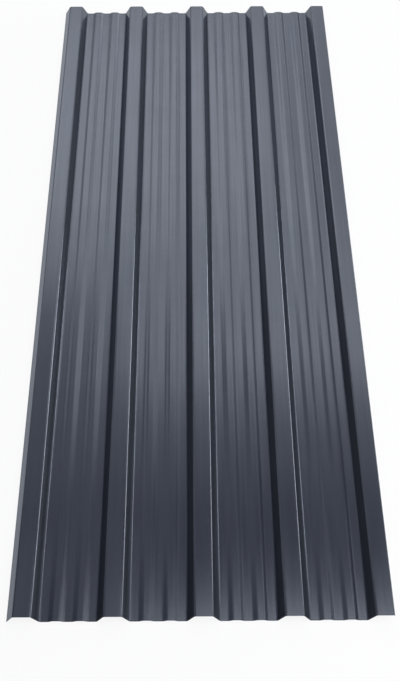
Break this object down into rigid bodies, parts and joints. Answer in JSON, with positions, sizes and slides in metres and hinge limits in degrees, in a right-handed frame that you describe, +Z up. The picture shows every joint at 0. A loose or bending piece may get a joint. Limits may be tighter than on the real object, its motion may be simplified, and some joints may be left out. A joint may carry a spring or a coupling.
{
  "type": "corrugated metal sheet",
  "caption": "Flat-lying roll-formed steel roofing sheet with trapezoidal ribs, shallow swages in the pans, a footed lap flank on one long edge and a short turned-down lip on the other.",
  "frame": {"origin": "on the floor under the middle of the sheet, which lies on its pans with its ribs up", "axes": "+X across the ribs, from the lap flank edge to the lip edge; +Y along the ribs; +Z up, from the pans to the crests"},
  "size_m": [0.8134, 2, 0.027],
  "materials": {
    "coated_steel": "satin anthracite powder coat on galvanised steel, bare zinc and steel on the cut edges"
  },
  "bodies": {
    "root": {"profiled_sheet": "coated_steel"}
  },
  "joints": []
}
